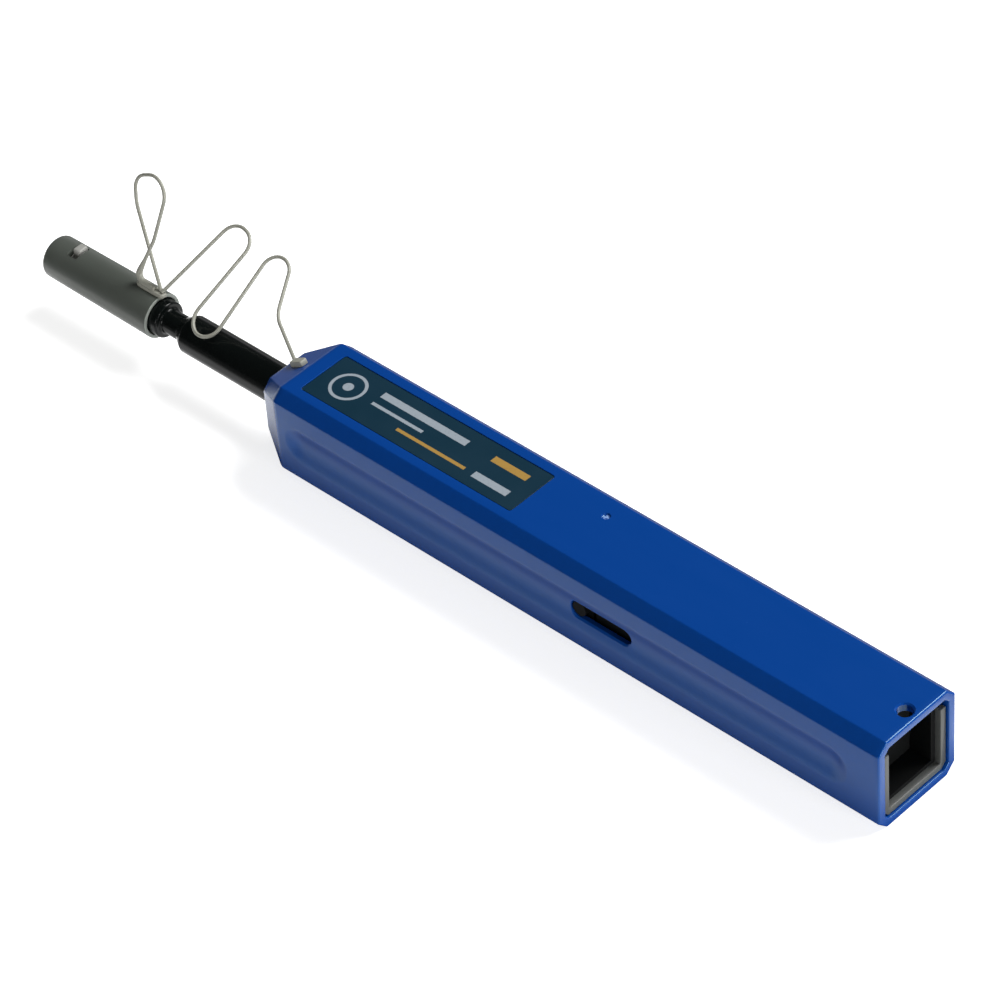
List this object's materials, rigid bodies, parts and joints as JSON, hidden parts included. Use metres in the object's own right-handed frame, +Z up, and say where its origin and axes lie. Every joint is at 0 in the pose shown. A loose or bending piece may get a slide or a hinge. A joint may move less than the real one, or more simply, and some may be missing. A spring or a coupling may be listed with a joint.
{
  "type": "fibre connector cleaner",
  "caption": "Pen-shaped push cleaner for fibre connector ends: square bevelled housing, sprung nozzle with a turning thread tip, tethered guide cap.",
  "frame": {"origin": "middle of the housing's flat bottom face, half way between its front shoulder and its open rear edge", "axes": "+X along the housing to its open rear end (the nozzle points to -X), +Y across the flat bottom, +Z up through the label face"},
  "size_m": [0.2015, 0.0255, 0.0342],
  "materials": {
    "housing_blue": "moulded, satin sheen with soft highlights",
    "label_film": "smooth dark teal film",
    "inner_white": "natural acetal, satin",
    "chassis_grey": "moulded grey plastic, satin",
    "chassis_black": "moulded black plastic, satin",
    "nozzle_black": "black plastic, semi-gloss",
    "steel": "drawn wire and ground pins",
    "thread_white": "lint-free microfibre thread",
    "cap_grey": "dark grey plastic, satin",
    "guide_white": "pale plastic, satin",
    "tether_grey": "grey flexible strap, satin"
  },
  "bodies": {
    "housing": {"outer_housing": "housing_blue", "label_plate": "label_film", "drive_rack": "inner_white", "cam_pin": "steel"},
    "chassis": {"chassis_tray": "chassis_black", "rear_frame": "chassis_grey", "chassis_cover": "chassis_black", "nozzle_tube": "nozzle_black", "tip_sleeve": "nozzle_black", "takeup_pin": "steel", "supply_pin": "steel", "return_spring": "steel", "feed_thread": "thread_white", "return_thread": "thread_white", "reverse_pawl": "inner_white"},
    "rotor": {"cam_barrel": "inner_white", "tip_shaft": "inner_white", "tip_spring": "steel"},
    "tip": {"cleaning_tip": "guide_white"},
    "takeup": {"takeup_reel": "inner_white", "takeup_thread": "thread_white"},
    "gear": {"drive_gear": "inner_white"},
    "supply": {"supply_reel": "inner_white", "supply_thread": "thread_white"},
    "cap": {"guide_cap": "cap_grey", "ferrule_guide": "guide_white", "tether": "tether_grey"}
  },
  "joints": [
    {"name": "push_stroke", "type": "slide", "parent": "housing", "child": "chassis", "axis": [1, 0, 0], "range_m": [0, 0.01], "stiffness_N_per_m": 600, "springref_m": -0.006, "deforming": ["return_spring"]},
    {"name": "tip_turn", "type": "hinge", "parent": "chassis", "child": "rotor", "pos_m": [0, 0, 0.0095], "axis": [1, 0, 0], "range_deg": [0, 180]},
    {"name": "tip_float", "type": "slide", "parent": "rotor", "child": "tip", "axis": [1, 0, 0], "range_m": [0, 0.001], "stiffness_N_per_m": 800, "springref_m": -0.001, "deforming": ["tip_spring"]},
    {"name": "gear_turn", "type": "hinge", "parent": "chassis", "child": "gear", "pos_m": [0.0185, 0, 0.0095], "axis": [0, -1, 0], "range_deg": [0, 127.4]},
    {"name": "takeup_turn", "type": "hinge", "parent": "chassis", "child": "takeup", "pos_m": [0.0185, 0, 0.0095], "axis": [0, -1, 0], "range_deg": [0, 127.4], "deforming": ["reverse_pawl"]},
    {"name": "supply_turn", "type": "hinge", "parent": "chassis", "child": "supply", "pos_m": [0.0405, 0, 0.0095], "axis": [0, -1, 0], "range_deg": [0, 84.9]},
    {"name": "cap_slide", "type": "slide", "parent": "chassis", "child": "cap", "axis": [-1, 0, 0], "range_m": [0, 0.022], "deforming": ["tether"]}
  ],
  "couplings": [
    {"joint": "tip_turn", "follows": "push_stroke", "rad_per_m": 314.16},
    {"joint": "gear_turn", "follows": "push_stroke", "rad_per_m": 222.22},
    {"joint": "takeup_turn", "follows": "push_stroke", "rad_per_m": 222.22},
    {"joint": "supply_turn", "follows": "push_stroke", "rad_per_m": 148.15}
  ]
}
